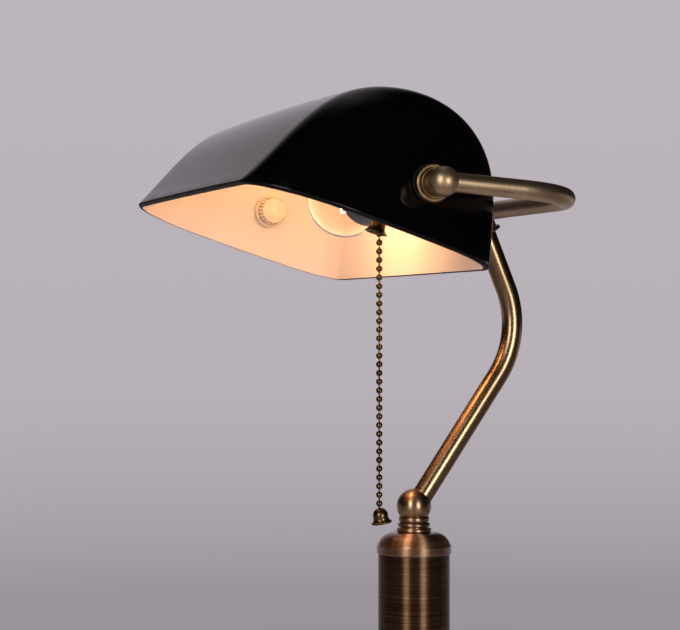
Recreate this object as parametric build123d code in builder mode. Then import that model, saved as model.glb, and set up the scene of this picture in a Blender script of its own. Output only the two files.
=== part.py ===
from build123d import *
import os
from math import cos, degrees, radians, sin, sqrt, tan

# Sizes in millimetres and degrees. The origin is the centre of the felt on the table, +Z is up,
# the front of the lamp faces -Y and the lampholder end of the shade is at +X.

# Clearances
fit = 0.05
running_gap = 0.1
loose_fit = 0.3

# Round base with its ballast
felt_thickness = 2.0
felt_inset = 1.5
base_radius = 82.5
base_height = 36.0
base_wall = 1.6
rim_lift = 1.0
foot_height = 16.0
foot_round = 3.0
riser_radius = 66.0
riser_height = 3.0
crown_radius = 27.0
weight_clearance = 0.5
weight_rim_height = 6.0
weight_step_radius = 52.0
weight_step_height = 18.0
weight_boss_radius = 16.0
recess_radius = 13.0
recess_depth = 9.0

# Cord grommet in the rear of the base rim
grommet_height = 7.2
grommet_radius = 4.2
grommet_bore = 3.0
grommet_flange_radius = 5.2
grommet_flange_thickness = 1.5
grommet_lip_radius = 4.7

# Hollow tie rod that clamps base and column
rod_radius = 5.0
rod_bore = 3.2
rod_end_inset = 0.6
washer_radius = 11.0
washer_thickness = 1.8
nut_across_flats = 17.0
nut_thickness = 6.0

# Column
foot_ring_radius = 25.0
foot_ring_waist = 21.0
foot_ring_height = 8.0
foot_ring_floor = 2.0
foot_ring_edge = 2.4
column_radius = 18.7
column_wall = 1.2
column_length = 115.0
spigot_length = 6.3
cap_band_radius = 19.5
cap_band_height = 4.6
cap_band_round = 0.55
cap_shoulder_radius = 18.9
cap_top_radius = 10.6
cap_dome_height = 6.3
cap_bore_floor = 3.9

# Swivel neck under the stem
nipple_radius = 4.0
nipple_bore = 2.6
nipple_head_radius = 5.0
nipple_head_thickness = 1.2
collar_radius = 9.0
collar_height = 2.4
collar_groove_radius = 6.7
collar_groove_height = 0.5
neck_ring_radius = 8.4
neck_ring_height = 2.1
collar_round = 0.95
swivel_washer_thickness = 0.4

# Stem ball and bent stem tube
stem_ball_radius = 9.0
stem_ball_foot_radius = 8.0
stem_ball_foot_height = 2.6
stem_ball_foot_round = 0.8
stem_ball_rise = 8.1
cavity_floor = 4.2
cavity_height = 2.8
stem_radius = 5.5
stem_wall = 1.0
stem_offset = 1.07
stem_bend = 48.5
stem_lower_lean = 35.25
stem_upper_lean = 22.9
stem_insert = 3.5

# Hub where the stem meets the yoke
hub_reach = 37.0
hub_height = 331.4
hub_radius = 9.0
hub_neck_radius = 7.0
hub_neck_length = 9.7
hub_socket_depth = 5.0
stem_collar_radius = 8.6
stem_collar_thickness = 2.2
stem_collar_round = 0.9
wire_hole = 2.4

# Yoke around the back of the shade
yoke_radius = 4.6
yoke_wall = 0.9
yoke_bend = 38.0
yoke_depth = 78.55
yoke_slope = 3.6
end_ball_radius = 7.0
end_ball_neck_radius = 5.0
end_ball_standoff = 7.5
end_ball_insert = 4.5
pivot_bore_end = 2.5
end_ball_wire_hole = 3.0

# Glass shade
shade_length = 225.0
shade_width = 130.0
shade_height = 68.4
shade_wall = 3.0
shade_tilt = 17.77
lip_angle = 53.5
brow_setback = 36.2
brow_drop = 10.4
crest_lead = 6.6
crest_bow = 2.0
shoulder_height = 26.6
rear_lean = 12.4
end_draft = 8.0
end_bow = 8.0
end_roll = 19.5
front_corner = 57.0
rear_corner = 43.5
plan_margin = 10.0
skirt = 5.0
rim_round = 1.2

# Pivots through the glass
pivot_setback = 15.8
pivot_lift = 25.6
pivot_radius = 4.0
pivot_bore = 2.6
glass_hole_radius = 5.5
gasket_radius = 9.0
gasket_least = 0.5
flange_radius = 9.0
flange_thickness = 3.0
flange_round = 0.8
friction_ring_radius = 7.5
friction_ring_thickness = 2.0
friction_ring_round = 0.5
nipple_engagement = 8.0

# Knurled thumb nut
thumb_nut_radius = 8.0
thumb_nut_thickness = 7.0
thumb_nut_dome = 1.5
thumb_nut_edge = 4.4
thumb_nut_hole_depth = 5.0
knurl_count = 24
knurl_width = 1.1
knurl_depth = 1.4

# Lampholder, measured along its axis from the face on the inner gasket
holder_radius = 16.0
holder_wall = 2.0
cap_hub_radius = 10.0
cap_hub_length = 4.0
cap_flare_end = 13.0
cap_length = 18.0
cap_floor = 9.0
body_spigot_length = 4.0
body_length = 47.2
front_wall = 2.0
sleeve_radius = 11.7
sleeve_bore = 9.0
sleeve_flange_radius = 13.6
sleeve_flange_thickness = 2.0
sleeve_reach = 12.0
contact_block_length = 11.0
screw_shell_radius = 7.6
screw_shell_wall = 0.5
screw_shell_length = 14.0
screw_shell_floor = 0.6
centre_contact_radius = 2.5
centre_contact_thickness = 1.0
shell_base_hole = 4.0

# Chain outlet on the lampholder, measured down from the lampholder axis
outlet_station = 42.6
outlet_flange_radius = 5.0
outlet_flange_top = 11.8
outlet_flange_thickness = 1.2
outlet_neck_radius = 3.73
outlet_bore = 2.9
outlet_flare_top = 17.4
outlet_lip_radius = 5.8
outlet_lip_bore = 4.9
outlet_lip = 21.3

# Pull link, ball chain and bell pull
link_radius = 0.6
link_offset = 1.9
link_head_radius = 2.6
link_head_top = 5.0
link_head_thickness = 2.0
bead_radius = 1.6
bead_pitch = 4.19
bead_link_radius = 0.45
bead_gap = 0.25
bead_count = 30
pull_radius = 3.7
pull_lip_radius = 5.0
pull_height = 7.6
pull_lip_height = 0.8
pull_flare = 2.4
pull_cant = 10.0
pull_standoff = 0.5
pull_hollow_radius = 3.1
pull_hollow_depth = 3.6
pull_hollow_taper = 8.0
pull_hole_depth = 1.2

# Globe bulb
globe_radius = 20.1
globe_wall = 0.8
bulb_neck_radius = 6.3
bulb_neck_gap = 0.4
bulb_cap_radius = 7.0
bulb_cap_wall = 0.4
bulb_cap_length = 10.6
insulator_height = 2.0
insulator_tip_radius = 4.0
bulb_tip_radius = 2.0
bulb_tip_height = 1.0
bulb_stem_radius = 3.0
bulb_stem_length = 14.0
lead_radius = 0.35
lead_spread = 2.0
lead_length = 12.0
filament_span = 14.0
filament_bend = 1.2

# Levels of the pieces stacked on the base
weight_floor = felt_thickness
recess_top = weight_floor + recess_depth
crown_underside = base_height - base_wall
rim_inner_radius = base_radius - base_wall
weight_radius = rim_inner_radius - weight_clearance
felt_radius = weight_radius - felt_inset
column_base = base_height + foot_ring_floor
column_top = column_base + column_length
cap_dome_base = column_top + cap_band_height
cap_top = cap_dome_base + cap_dome_height
rod_top = cap_top - cap_bore_floor
collar_top = cap_top + collar_height
groove_top = collar_top + collar_groove_height
neck_top = groove_top + neck_ring_height
swivel_face = neck_top + swivel_washer_thickness
ball_foot = swivel_face + running_gap
ball_centre = Vector(0, 0, ball_foot + stem_ball_rise)

# Stem runs, seen from the side
lower_run = Vector(0, sin(radians(stem_lower_lean)), cos(radians(stem_lower_lean)))
upper_run = Vector(0, -sin(radians(stem_upper_lean)), cos(radians(stem_upper_lean)))
hub = Vector(0, hub_reach, hub_height)
stem_seat = ball_centre + Vector(0, stem_offset, 0)
stem_reach = hub - stem_seat
stem_turn = lower_run.cross(upper_run).X
lower_length = stem_reach.cross(upper_run).X / stem_turn
stem_corner = stem_seat + lower_run * lower_length
stem_start = stem_seat + lower_run * stem_insert
stem_end = hub - upper_run * hub_socket_depth

# Yoke plane, shade frame and pivot axis
slope = radians(yoke_slope)
yoke_forward = Vector(0, -cos(slope), sin(slope))
yoke_plane = Plane(hub, x_dir=(1, 0, 0), z_dir=(0, -sin(slope), -cos(slope)))
pivot = hub + yoke_forward * yoke_depth
pivot_axis = Axis(pivot, (1, 0, 0))
tilt = radians(shade_tilt)
rearward = Vector(0, cos(tilt), -sin(tilt))
upward = Vector(0, sin(tilt), cos(tilt))
mouth = pivot - rearward * pivot_setback - upward * pivot_lift
mouth_axis = Axis(mouth, upward)
mouth_plane = Plane(mouth, x_dir=(1, 0, 0), z_dir=upward)

# Stack along the pivot axis, from the glass outwards and inwards
draft = radians(end_draft)
bow_at_gasket = end_bow * ((pivot_setback + gasket_radius) / (shade_width / 2 + plan_margin)) ** 2
flange_seat = shade_length / 2 - (pivot_lift - gasket_radius) * tan(draft) + gasket_least
flange_face = flange_seat + flange_thickness
ring_seat = flange_face + running_gap
ring_face = ring_seat + friction_ring_thickness
arm_span = ring_face + end_ball_standoff
pivot_end = arm_span - pivot_bore_end
glass_inner_face = (
    shade_length / 2
    - (pivot_lift + gasket_radius) * tan(draft)
    - shade_wall / cos(draft)
    - bow_at_gasket
)
holder_seat = glass_inner_face - gasket_least

# Lampholder stations along its axis
holder_face = pivot + Vector(holder_seat, 0, 0)
holder_section = Plane(holder_face, x_dir=(-1, 0, 0), z_dir=(0, 1, 0))
body_end = cap_length + body_length
sleeve_seat = body_end - front_wall - sleeve_flange_thickness
contact_face = sleeve_seat
switch_face = contact_face - contact_block_length
switch_seat = cap_length + holder_wall
holder_bore = holder_radius - holder_wall
block_radius = holder_bore - loose_fit
bulb_tip = contact_face + screw_shell_floor + centre_contact_thickness
bulb_cap_start = bulb_tip + bulb_tip_height + insulator_height
bulb_cap_end = bulb_cap_start + bulb_cap_length
neck_join = bulb_cap_end + bulb_neck_gap
globe_centre = neck_join + sqrt(globe_radius**2 - bulb_neck_radius**2)
outlet_origin = holder_face - Vector(outlet_station, 0, 0)
outlet_axis = Axis(outlet_origin, -upward)
outlet_section = Plane(outlet_origin, x_dir=(1, 0, 0), z_dir=rearward)
chain_top = outlet_origin - upward * outlet_lip + rearward * link_offset
chain_section = Plane(chain_top, x_dir=(1, 0, 0), z_dir=(0, -1, 0))
chain_axis = Axis(chain_top, (0, 0, 1))
bead_cut = sqrt(bead_radius**2 - bead_link_radius**2)

os.makedirs("parts", exist_ok=True)

# Felt pad under the ballast, the face the lamp stands on.
with BuildPart() as felt_pad:
    with BuildSketch():
        Circle(felt_radius)
    extrude(amount=felt_thickness)
felt_pad.part.label = "felt_pad"
export_step(felt_pad.part, "parts/felt_pad.step")

# Spun base: a rim, a flat foot, a small riser and a low dome, open underneath.
with BuildPart() as base_shell:
    with BuildSketch(Plane.XZ):
        with BuildLine():
            dome_foot = (riser_radius, foot_height + riser_height)
            Line((0, rim_lift), (base_radius, rim_lift))
            Line((base_radius, rim_lift), (base_radius, foot_height - foot_round))
            TangentArc(
                (base_radius, foot_height - foot_round),
                (base_radius - foot_round, foot_height),
                tangent=(0, 1),
            )
            Line((base_radius - foot_round, foot_height), (riser_radius, foot_height))
            Line((riser_radius, foot_height), dome_foot)
            TangentArc((crown_radius, base_height), dome_foot, tangent=(1, 0))
            Line((crown_radius, base_height), (0, base_height))
            Line((0, base_height), (0, rim_lift))
        make_face()
    revolve(axis=Axis.Z)
    offset(amount=-base_wall, openings=faces().sort_by(Axis.Z)[0])
    with BuildSketch():
        Circle(rod_radius + loose_fit)
    extrude(amount=base_height, mode=Mode.SUBTRACT)
    with BuildSketch(Plane.XZ.offset(-base_radius)):
        with Locations((0, grommet_height)):
            Circle(grommet_radius + fit)
    extrude(amount=2 * base_wall, both=True, mode=Mode.SUBTRACT)
base_shell.part.label = "base_shell"
export_step(base_shell.part, "parts/base_shell.step")

# Cast ballast: a stepped disc with a boss under the crown, a nut recess and a slot for the cord.
with BuildPart() as base_weight:
    with BuildSketch(Plane.XY.offset(weight_floor)):
        Circle(weight_radius)
    extrude(amount=weight_rim_height)
    with BuildSketch(Plane.XY.offset(weight_floor)):
        Circle(weight_step_radius)
    extrude(amount=weight_step_height)
    with BuildSketch(Plane.XY.offset(weight_floor)):
        Circle(weight_boss_radius)
    extrude(amount=crown_underside - weight_floor)
    with BuildSketch(Plane.XY.offset(weight_floor)):
        Circle(recess_radius)
    extrude(amount=recess_depth, mode=Mode.SUBTRACT)
    with BuildSketch(Plane.XY.offset(weight_floor)):
        Circle(rod_radius + loose_fit)
    extrude(amount=crown_underside, mode=Mode.SUBTRACT)
    with BuildSketch(Plane.XY.offset(weight_floor)):
        with Locations((0, weight_radius / 2)):
            Rectangle(2 * (grommet_lip_radius + loose_fit), weight_radius)
    extrude(amount=grommet_height + grommet_lip_radius + loose_fit - weight_floor, mode=Mode.SUBTRACT)
base_weight.part.label = "base_weight"
export_step(base_weight.part, "parts/base_weight.step")

# Rubber grommet snapped into the rear of the rim: outer flange, groove on the wall, inner lip.
with BuildPart() as cord_grommet:
    with BuildSketch(Plane.XY.offset(grommet_height)):
        with BuildLine():
            flange_start = base_radius + running_gap
            flange_end = flange_start + grommet_flange_thickness
            lip_start = sqrt(rim_inner_radius**2 - grommet_lip_radius**2) - running_gap
            lip_end = lip_start - base_wall
            Polyline(
                (grommet_bore, lip_end),
                (grommet_radius, lip_end),
                (grommet_lip_radius, lip_start),
                (grommet_radius, lip_start),
                (grommet_radius, flange_start),
                (grommet_flange_radius, flange_start),
                (grommet_flange_radius, flange_end),
                (grommet_bore, flange_end),
                close=True,
            )
        make_face()
    revolve(axis=Axis((0, 0, grommet_height), (0, 1, 0)))
    fillet(edges().group_by(Axis.Y)[-1].sort_by(SortBy.RADIUS)[-1], grommet_flange_thickness / 2)
cord_grommet.part.label = "cord_grommet"
export_step(cord_grommet.part, "parts/cord_grommet.step")

# Washer and nut on the lower end of the tie rod, inside the recess of the ballast.
with BuildPart() as rod_washer:
    with BuildSketch(Plane.XY.offset(recess_top - washer_thickness)):
        Circle(washer_radius)
        Circle(rod_radius + fit, mode=Mode.SUBTRACT)
    extrude(amount=washer_thickness)
rod_washer.part.label = "rod_washer"
export_step(rod_washer.part, "parts/rod_washer.step")

with BuildPart() as rod_nut:
    with BuildSketch(Plane.XY.offset(recess_top - washer_thickness - nut_thickness)):
        RegularPolygon(nut_across_flats / 2, 6, major_radius=False)
        Circle(rod_radius + fit, mode=Mode.SUBTRACT)
    extrude(amount=nut_thickness)
rod_nut.part.label = "rod_nut"
export_step(rod_nut.part, "parts/rod_nut.step")

# Hollow threaded rod from the recess to the cap of the column; the wires run inside it.
with BuildPart() as tie_rod:
    with BuildSketch(Plane.XY.offset(weight_floor + rod_end_inset)):
        Circle(rod_radius)
        Circle(rod_bore, mode=Mode.SUBTRACT)
    extrude(amount=rod_top - weight_floor - rod_end_inset)
tie_rod.part.label = "tie_rod"
export_step(tie_rod.part, "parts/tie_rod.step")

# Turned ring with a hollow cove that seats the column on the base.
with BuildPart() as foot_ring:
    with BuildSketch(Plane.XZ):
        with BuildLine():
            ring_top = base_height + foot_ring_height
            edge_top = base_height + foot_ring_edge
            Polyline(
                (foot_ring_waist, ring_top),
                (column_radius + fit, ring_top),
                (column_radius + fit, column_base),
                (rod_radius + loose_fit, column_base),
                (rod_radius + loose_fit, base_height),
                (foot_ring_radius, base_height),
                (foot_ring_radius, edge_top),
            )
            TangentArc((foot_ring_waist, ring_top), (foot_ring_radius, edge_top), tangent=(0, -1))
        make_face()
    revolve(axis=Axis.Z)
foot_ring.part.label = "foot_ring"
export_step(foot_ring.part, "parts/foot_ring.step")

# Straight column tube, brushed all round.
with BuildPart() as column_tube:
    with BuildSketch(Plane.XY.offset(column_base)):
        Circle(column_radius)
        Circle(column_radius - column_wall, mode=Mode.SUBTRACT)
    extrude(amount=column_length)
column_tube.part.label = "column_tube"
export_step(column_tube.part, "parts/column_tube.step")

# Cap of the column: spigot in the tube, proud band, dome, and a stepped bore for rod and nipple.
with BuildPart() as column_cap:
    with BuildSketch(Plane.XZ):
        with BuildLine():
            spigot_radius = column_radius - column_wall - fit
            Polyline(
                (cap_top_radius, cap_top),
                (nipple_radius + fit, cap_top),
                (nipple_radius + fit, rod_top),
                (rod_radius + fit, rod_top),
                (rod_radius + fit, column_top - spigot_length),
                (spigot_radius, column_top - spigot_length),
                (spigot_radius, column_top),
                (cap_band_radius, column_top),
                (cap_band_radius, cap_dome_base),
                (cap_shoulder_radius, cap_dome_base),
            )
            TangentArc((cap_top_radius, cap_top), (cap_shoulder_radius, cap_dome_base), tangent=(1, 0))
        make_face()
    revolve(axis=Axis.Z)
    fillet(edges().filter_by(GeomType.CIRCLE).group_by(SortBy.RADIUS)[-1], cap_band_round)
column_cap.part.label = "column_cap"
export_step(column_cap.part, "parts/column_cap.step")

# Neck collar: two turned rings with a groove between them.
with BuildPart() as neck_collar:
    with BuildSketch(Plane.XY.offset(cap_top)):
        Circle(collar_radius)
    extrude(amount=collar_height)
    with BuildSketch(Plane.XY.offset(groove_top)):
        Circle(neck_ring_radius)
    extrude(amount=neck_ring_height)
    fillet(edges(), collar_round)
    with BuildSketch(Plane.XY.offset(collar_top)):
        Circle(collar_groove_radius)
    extrude(amount=collar_groove_height)
    with BuildSketch(Plane.XY.offset(cap_top)):
        Circle(nipple_radius + fit)
    extrude(amount=neck_top - cap_top, mode=Mode.SUBTRACT)
neck_collar.part.label = "neck_collar"
export_step(neck_collar.part, "parts/neck_collar.step")

# Thin friction washer on which the stem ball turns.
with BuildPart() as swivel_washer:
    with BuildSketch(Plane.XY.offset(neck_top)):
        Circle(stem_ball_foot_radius - collar_round)
        Circle(nipple_radius + fit, mode=Mode.SUBTRACT)
    extrude(amount=swivel_washer_thickness)
swivel_washer.part.label = "swivel_washer"
export_step(swivel_washer.part, "parts/swivel_washer.step")

# Hollow nipple screwed into the cap; its head holds the ball down and lets it turn.
with BuildPart() as swivel_nipple:
    head_seat = ball_foot + cavity_floor + running_gap
    with BuildSketch(Plane.XY.offset(rod_top)):
        Circle(nipple_radius)
    extrude(amount=head_seat + nipple_head_thickness - rod_top)
    with BuildSketch(Plane.XY.offset(head_seat)):
        Circle(nipple_head_radius)
    extrude(amount=nipple_head_thickness)
    with BuildSketch(Plane.XY.offset(rod_top)):
        Circle(nipple_bore)
    extrude(amount=head_seat + nipple_head_thickness - rod_top, mode=Mode.SUBTRACT)
swivel_nipple.part.label = "swivel_nipple"
export_step(swivel_nipple.part, "parts/swivel_nipple.step")

# Ball at the foot of the stem, with a foot ring, a turned cavity and a slanted socket.
with BuildPart() as stem_ball:
    with Locations(ball_centre):
        Sphere(stem_ball_radius)
    split(bisect_by=Plane.XY.offset(ball_foot), keep=Keep.TOP)
    with BuildSketch(Plane.XY.offset(ball_foot)):
        Circle(stem_ball_foot_radius)
    extrude(amount=stem_ball_foot_height)
    fillet(edges().filter_by(Plane.XY).group_by(SortBy.RADIUS)[-1], stem_ball_foot_round)
    with BuildSketch(Plane.XY.offset(ball_foot)):
        Circle(nipple_radius + fit)
    extrude(amount=cavity_floor, mode=Mode.SUBTRACT)
    with BuildSketch(Plane.XY.offset(ball_foot + cavity_floor)):
        Circle(stem_radius + fit)
    extrude(amount=cavity_height, mode=Mode.SUBTRACT)
    with BuildSketch(Plane(stem_seat, z_dir=lower_run)):
        Circle(stem_radius + fit)
    extrude(amount=stem_ball_radius, mode=Mode.SUBTRACT)
stem_ball.part.label = "stem_ball"
export_step(stem_ball.part, "parts/stem_ball.step")

# Bent stem tube: it leans back from the column, then forward to the yoke.
with BuildPart() as stem_tube:
    with BuildLine() as stem_path:
        FilletPolyline(stem_start, stem_corner, stem_end, radius=stem_bend)
    with BuildSketch(Plane(stem_path.line @ 0, z_dir=stem_path.line % 0)):
        Circle(stem_radius)
        Circle(stem_radius - stem_wall, mode=Mode.SUBTRACT)
    sweep(path=stem_path.wire())
stem_tube.part.label = "stem_tube"
export_step(stem_tube.part, "parts/stem_tube.step")

# Ring collar on the stem, tight under the hub.
with BuildPart() as stem_collar:
    with BuildSketch(Plane(hub - upper_run * hub_neck_length, z_dir=-upper_run)):
        Circle(stem_collar_radius)
    extrude(amount=stem_collar_thickness)
    fillet(edges(), stem_collar_round)
    with BuildSketch(Plane(hub, z_dir=-upper_run)):
        Circle(stem_radius + fit)
    extrude(amount=hub_neck_length + stem_collar_thickness, mode=Mode.SUBTRACT)
stem_collar.part.label = "stem_collar"
export_step(stem_collar.part, "parts/stem_collar.step")

# Hub: a ball on the yoke tube with a short neck for the stem and a way through for the wires.
with BuildPart() as yoke_hub:
    with Locations(hub):
        Sphere(hub_radius)
    with BuildSketch(Plane(hub, z_dir=-upper_run)):
        Circle(hub_neck_radius)
    extrude(amount=hub_neck_length)
    with BuildSketch(Plane(hub, z_dir=(1, 0, 0))):
        Circle(yoke_radius + fit)
    extrude(amount=hub_radius, both=True, mode=Mode.SUBTRACT)
    with BuildSketch(Plane(hub - upper_run * hub_socket_depth, z_dir=-upper_run)):
        Circle(stem_radius + fit)
    extrude(amount=hub_neck_length, mode=Mode.SUBTRACT)
    with BuildSketch(Plane(hub, z_dir=-upper_run)):
        Circle(wire_hole)
    extrude(amount=hub_socket_depth, mode=Mode.SUBTRACT)
yoke_hub.part.label = "yoke_hub"
export_step(yoke_hub.part, "parts/yoke_hub.step")

# Yoke: one tube bent twice, with a wire hole at the hub.
with BuildPart() as yoke_tube:
    arm_end = yoke_depth - end_ball_insert
    with BuildLine(yoke_plane) as yoke_path:
        FilletPolyline(
            (arm_span, arm_end),
            (arm_span, 0),
            (-arm_span, 0),
            (-arm_span, arm_end),
            radius=yoke_bend,
        )
    with BuildSketch(Plane(yoke_path.line @ 0, z_dir=yoke_path.line % 0)):
        Circle(yoke_radius)
        Circle(yoke_radius - yoke_wall, mode=Mode.SUBTRACT)
    sweep(path=yoke_path.wire())
    with BuildSketch(Plane(hub, z_dir=-upper_run)):
        Circle(wire_hole)
    extrude(amount=2 * yoke_radius, mode=Mode.SUBTRACT)
yoke_tube.part.label = "yoke_tube"
export_step(yoke_tube.part, "parts/yoke_tube.step")

# Outer form of the shade: a profile carried along a low arch and cut to the plan, with rolled-over
# ends and a skirt below the mouth that is trimmed off later.
arch_radius = shade_length**2 / (8 * crest_bow)
arch_drop = arch_radius - shade_height
arch_centre = mouth - upward * arch_drop
arch_turn = shade_length / arch_radius
arch_start = Plane(
    arch_centre + (upward * cos(arch_turn) - Vector(sin(arch_turn), 0, 0)) * arch_drop,
    x_dir=rearward,
    z_dir=upward * sin(arch_turn) + Vector(cos(arch_turn), 0, 0),
)
lean = radians(rear_lean)
front_rise = Vector(cos(radians(lip_angle)), sin(radians(lip_angle)))
rear_fall = Vector(sin(lean), -cos(lean))
half_width = shade_width / 2
skirt_front = Vector(-half_width, 0) - front_rise * (skirt / front_rise.Y)
skirt_rear = Vector(half_width, 0) - rear_fall * (skirt / rear_fall.Y)
brow = Vector(brow_setback - half_width, shade_height - brow_drop)
crest = Vector(-crest_lead, shade_height)
shoulder = Vector(half_width, 0) + rear_fall * (shoulder_height / rear_fall.Y)
plan_end = shade_length / 2 + skirt * tan(draft)
plan_side = half_width + plan_margin
with BuildPart() as shade_form:
    with BuildSketch(arch_start):
        with BuildLine():
            Spline(skirt_front, brow, crest, shoulder, tangents=(front_rise, rear_fall))
            Line(shoulder, skirt_rear)
            Line(skirt_rear, skirt_front)
        make_face()
    revolve(axis=Axis(arch_centre, rearward), revolution_arc=degrees(2 * arch_turn))
    with BuildSketch(mouth_plane.offset(-skirt)):
        with BuildLine():
            side_end = plan_end - end_bow
            Line((-side_end, -plan_side), (side_end, -plan_side))
            ThreePointArc((side_end, -plan_side), (plan_end, 0), (side_end, plan_side))
            Line((side_end, plan_side), (-side_end, plan_side))
            ThreePointArc((-side_end, plan_side), (-plan_end, 0), (-side_end, -plan_side))
        make_face()
        fillet(vertices().sort_by(Axis.Y)[:2], front_corner)
        fillet(vertices().sort_by(Axis.Y)[-2:], rear_corner)
    extrude(amount=shade_height + 2 * skirt, taper=end_draft, mode=Mode.INTERSECT)
    end_edges = edges().filter_by(GeomType.BSPLINE)
    fillet(end_edges - edges().group_by(mouth_axis)[0], end_roll)

# Hollow of the shade, one wall inside the outer form.
with BuildPart() as shade_core:
    add(shade_form.part)
    offset(amount=-shade_wall)

# Glass shade: cased glass of even wall, open at the mouth, with a hole in each end.
with BuildPart() as glass_shade:
    add(shade_form.part)
    add(shade_core.part, mode=Mode.SUBTRACT)
    split(bisect_by=mouth_plane, keep=Keep.TOP)
    fillet(faces().sort_by(mouth_axis)[0].outer_wire().edges(), rim_round)
    with BuildSketch(Plane(pivot, z_dir=(1, 0, 0))):
        Circle(glass_hole_radius)
    extrude(amount=shade_length, both=True, mode=Mode.SUBTRACT)
glass_shade.part.label = "glass_shade"
export_step(glass_shade.part, "parts/glass_shade.step")

# Each end of the yoke: ball, friction ring, flange and the two gaskets that grip the glass.
for side, end in ((1, "right"), (-1, "left")):
    outward = Vector(side, 0, 0)
    ball = pivot + outward * arm_span

    # Ball on the end of the yoke with a short neck, a blind pivot bore and a socket for the tube.
    with BuildPart() as yoke_ball:
        with BuildSketch(Plane(ball, x_dir=-outward, z_dir=(0, side, 0))):
            with BuildLine():
                neck_root = sqrt(end_ball_radius**2 - end_ball_neck_radius**2)
                ThreePointArc((-end_ball_radius, 0), (0, end_ball_radius), (neck_root, end_ball_neck_radius))
                Polyline(
                    (neck_root, end_ball_neck_radius),
                    (end_ball_standoff, end_ball_neck_radius),
                    (end_ball_standoff, pivot_radius + fit),
                    (pivot_bore_end, pivot_radius + fit),
                    (pivot_bore_end, end_ball_wire_hole),
                    (0, end_ball_wire_hole),
                    (0, 0),
                    (-end_ball_radius, 0),
                )
            make_face()
        revolve(axis=pivot_axis)
        with BuildSketch(Plane(ball - yoke_forward * end_ball_insert, z_dir=-yoke_forward)):
            Circle(yoke_radius + fit)
        extrude(amount=end_ball_radius, mode=Mode.SUBTRACT)
        with BuildSketch(Plane(ball, z_dir=-yoke_forward)):
            Circle(wire_hole)
        extrude(amount=end_ball_insert, mode=Mode.SUBTRACT)
    yoke_ball.part.label = f"yoke_ball_{end}"
    export_step(yoke_ball.part, f"parts/yoke_ball_{end}.step")

    # Friction ring that stays with the ball; the flange turns against it.
    with BuildPart() as friction_ring:
        with BuildSketch(Plane(pivot + outward * ring_seat, z_dir=outward)):
            Circle(friction_ring_radius)
        extrude(amount=friction_ring_thickness)
        fillet(edges(), friction_ring_round)
        with BuildSketch(Plane(pivot + outward * ring_seat, z_dir=outward)):
            Circle(pivot_radius + fit)
        extrude(amount=friction_ring_thickness, mode=Mode.SUBTRACT)
    friction_ring.part.label = f"friction_ring_{end}"
    export_step(friction_ring.part, f"parts/friction_ring_{end}.step")

    # Flange that presses the outer gasket on the glass.
    with BuildPart() as pivot_flange:
        with BuildSketch(Plane(pivot + outward * flange_seat, z_dir=outward)):
            Circle(flange_radius)
        extrude(amount=flange_thickness)
        fillet(edges(), flange_round)
        with BuildSketch(Plane(pivot + outward * flange_seat, z_dir=outward)):
            Circle(pivot_radius + fit)
        extrude(amount=flange_thickness, mode=Mode.SUBTRACT)
    pivot_flange.part.label = f"pivot_flange_{end}"
    export_step(pivot_flange.part, f"parts/pivot_flange_{end}.step")

    # Soft gaskets outside and inside the end wall take up its draft and its bow.
    with BuildPart() as outer_gasket:
        with BuildSketch(Plane(pivot + outward * glass_inner_face, z_dir=outward)):
            Circle(gasket_radius)
            Circle(pivot_radius + fit, mode=Mode.SUBTRACT)
        extrude(amount=flange_seat - glass_inner_face)
        add(shade_form.part, mode=Mode.SUBTRACT)
    outer_gasket.part.label = f"outer_gasket_{end}"
    export_step(outer_gasket.part, f"parts/outer_gasket_{end}.step")

    with BuildPart() as inner_gasket:
        with BuildSketch(Plane(pivot + outward * holder_seat, z_dir=outward)):
            Circle(gasket_radius)
            Circle(pivot_radius + fit, mode=Mode.SUBTRACT)
        extrude(amount=flange_seat - holder_seat)
        add(shade_core.part, mode=Mode.INTERSECT)
    inner_gasket.part.label = f"inner_gasket_{end}"
    export_step(inner_gasket.part, f"parts/inner_gasket_{end}.step")

# Hollow pivot at the lampholder end; the wires pass through it from the yoke.
with BuildPart() as pivot_nipple:
    with BuildSketch(Plane(holder_face - Vector(nipple_engagement, 0, 0), z_dir=(1, 0, 0))):
        Circle(pivot_radius)
        Circle(pivot_bore, mode=Mode.SUBTRACT)
    extrude(amount=pivot_end - running_gap - holder_seat + nipple_engagement)
pivot_nipple.part.label = "pivot_nipple"
export_step(pivot_nipple.part, "parts/pivot_nipple.step")

# Solid pivot stud at the other end, held by the thumb nut.
with BuildPart() as pivot_stud:
    with BuildSketch(Plane(pivot - Vector(holder_seat - thumb_nut_hole_depth, 0, 0), z_dir=(-1, 0, 0))):
        Circle(pivot_radius)
    extrude(amount=pivot_end - running_gap - holder_seat + thumb_nut_hole_depth)
pivot_stud.part.label = "pivot_stud"
export_step(pivot_stud.part, "parts/pivot_stud.step")

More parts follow.
